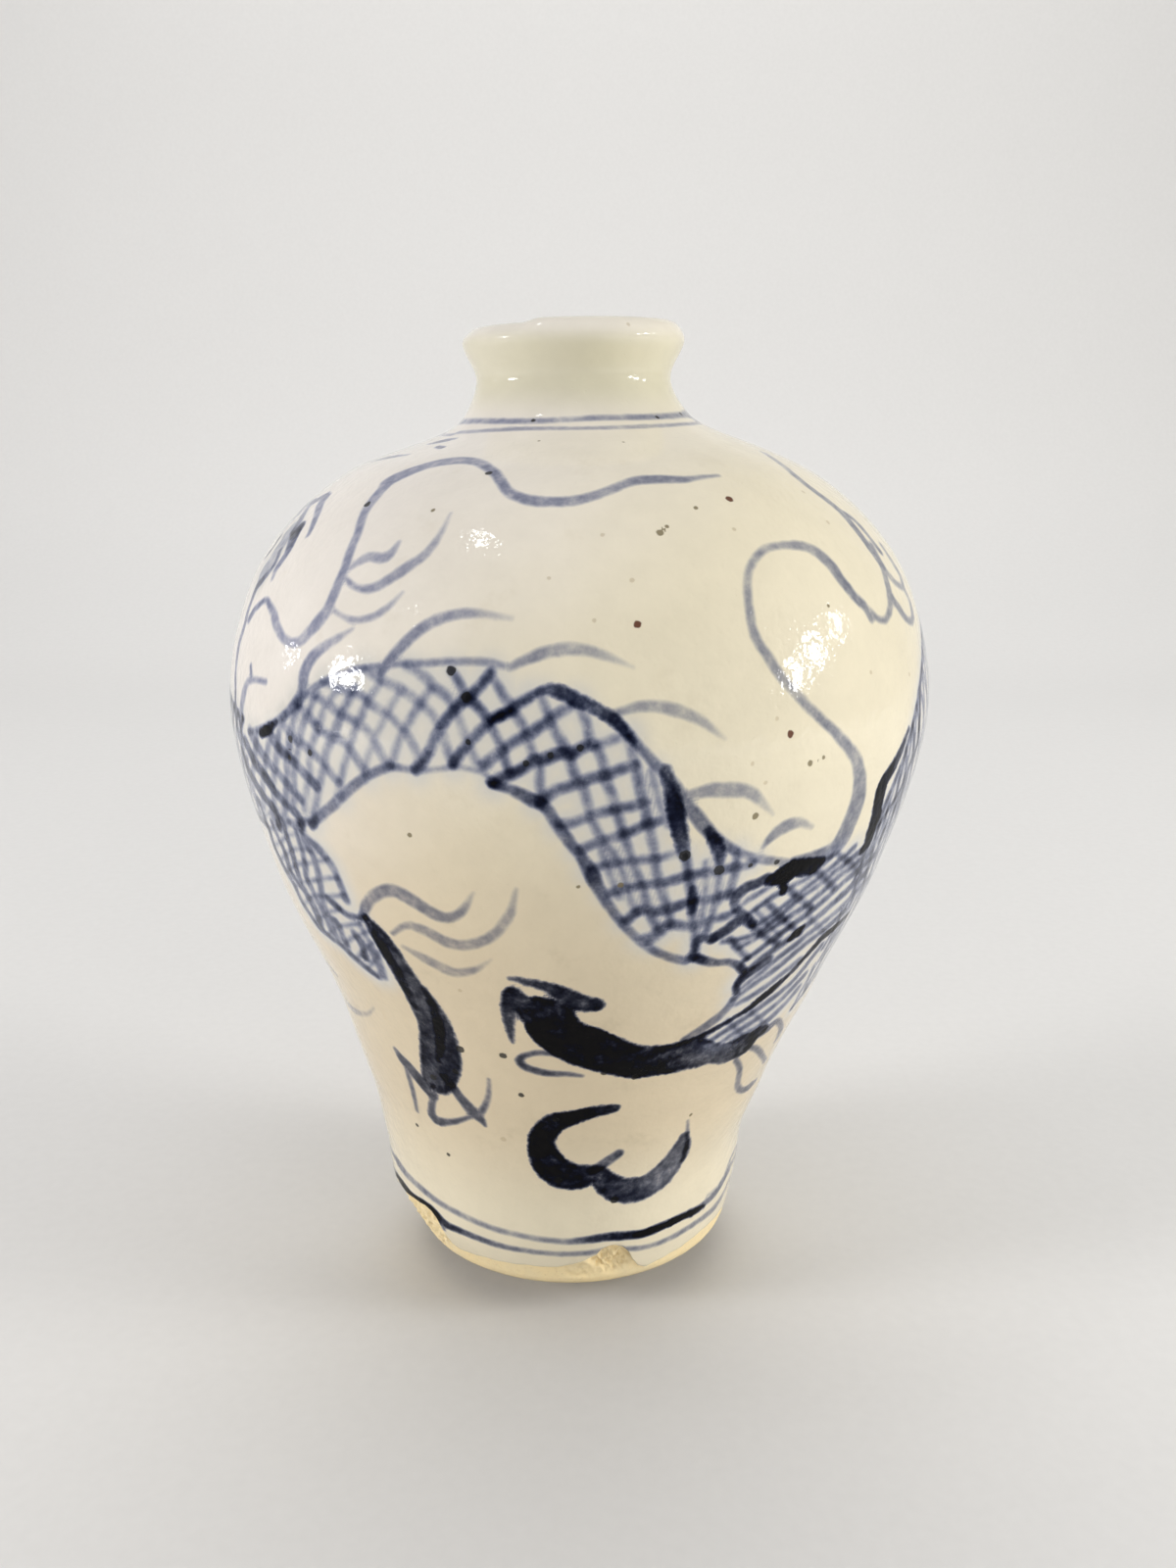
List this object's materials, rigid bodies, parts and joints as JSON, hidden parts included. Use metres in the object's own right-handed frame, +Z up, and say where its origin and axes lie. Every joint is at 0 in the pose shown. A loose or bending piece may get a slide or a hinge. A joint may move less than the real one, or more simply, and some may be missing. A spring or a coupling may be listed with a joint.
{
  "type": "dragon jar",
  "caption": "Round-shouldered porcelain jar with a small rolled mouth and a narrow foot, painted in blue under its glaze.",
  "frame": {"origin": "under the middle of the belly, on the plane that the foot ring rests on", "axes": "+Z up along the thrown axis; the painted side that the picture shows faces -Y"},
  "size_m": [0.147, 0.147, 0.1992],
  "materials": {
    "clay": "bare fired porcelain stoneware, dry and fine-grained",
    "slip": "fired luting slip, dry",
    "glaze": "glossy clear glaze over a warm white body, faintly green where thick, painted in cobalt blue underneath"
  },
  "bodies": {
    "root": {"foot_and_floor": "clay", "lower_body": "clay", "upper_body": "clay", "neck_and_lip": "clay", "base_joint_slip": "slip", "belly_joint_slip": "slip", "neck_joint_slip": "slip", "outer_glaze": "glaze", "inner_glaze": "glaze"}
  },
  "joints": []
}
